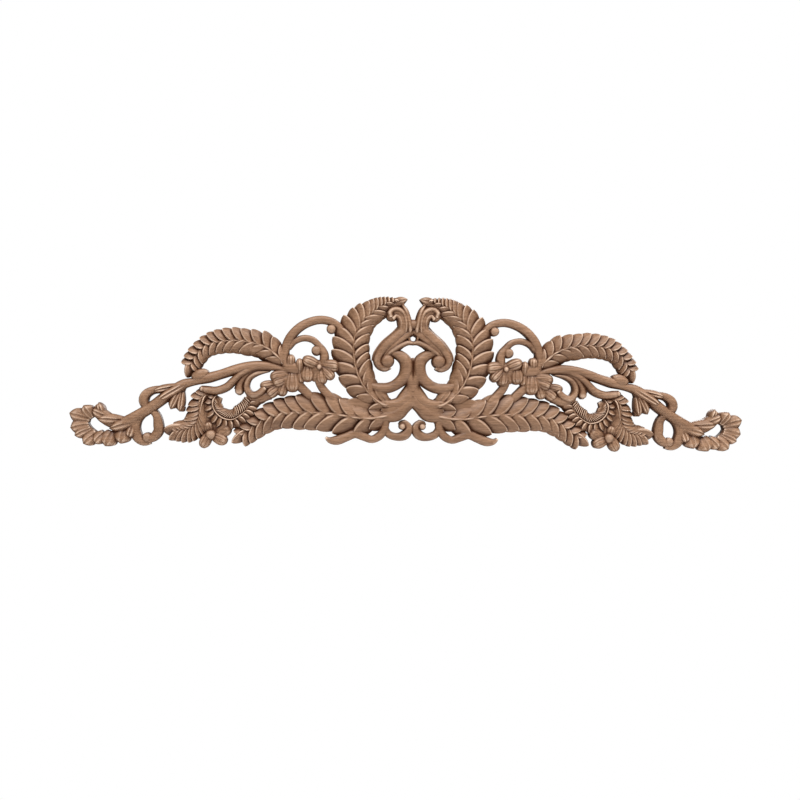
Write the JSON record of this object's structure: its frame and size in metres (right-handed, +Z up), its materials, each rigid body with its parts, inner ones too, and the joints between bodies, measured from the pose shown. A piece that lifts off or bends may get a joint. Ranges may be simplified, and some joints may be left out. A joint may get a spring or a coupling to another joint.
{
  "type": "carved openwork wood moulding",
  "caption": "Long low openwork wood carving with scrolls, arched fronds, petals and leafy tips, mirrored about its centre, on a flat back made to be stuck to furniture.",
  "frame": {"origin": "on the flat back, on the mirror axis, in the solid saddle at the centre", "axes": "+Z up in the carving, -Y out of the carved front, +Y out of the flat back, X along the length"},
  "size_m": [0.602, 0.014, 0.1375],
  "materials": {
    "carved_wood": "bare carved wood, fine open-pored grain along the length, satin"
  },
  "bodies": {
    "root": {"carved_moulding": "carved_wood"}
  },
  "joints": []
}
